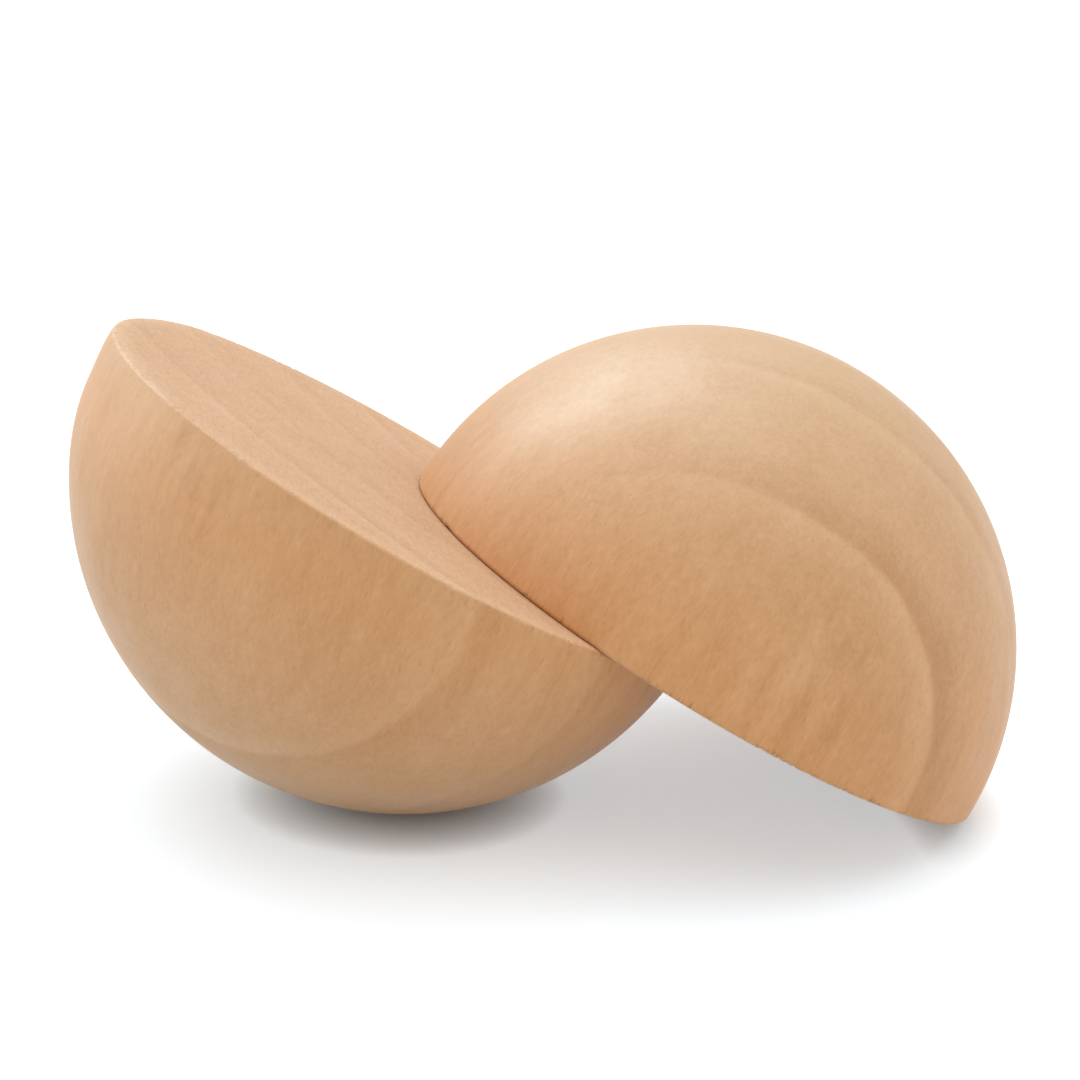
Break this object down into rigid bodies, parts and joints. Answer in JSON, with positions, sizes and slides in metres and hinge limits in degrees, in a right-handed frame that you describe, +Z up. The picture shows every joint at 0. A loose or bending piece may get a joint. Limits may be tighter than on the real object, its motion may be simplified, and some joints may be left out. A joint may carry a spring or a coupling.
{
  "type": "split wooden ball",
  "caption": "Solid turned wooden ball, sawn through the middle, with its halves lying face to face and slid along the cut. Used for knobs, feet and craft work.",
  "frame": {"origin": "on the bench, under the middle of the box that holds both halves", "axes": "+Z is up from the bench; +X runs level, down the slope of the cut, from the half that lies below it to the half that lies on top of it; +Y makes a right-handed frame and is square to the plane that mirrors the object"},
  "size_m": [0.1108, 0.0762, 0.056],
  "materials": {
    "lower_wood": "pale close-grained hardwood, turned and fine sanded, sawn across the grain, no varnish",
    "upper_wood": "pale close-grained hardwood, turned and fine sanded, sawn across the grain, no varnish"
  },
  "bodies": {
    "root": {"lower_half": "lower_wood", "upper_half": "upper_wood"}
  },
  "joints": []
}
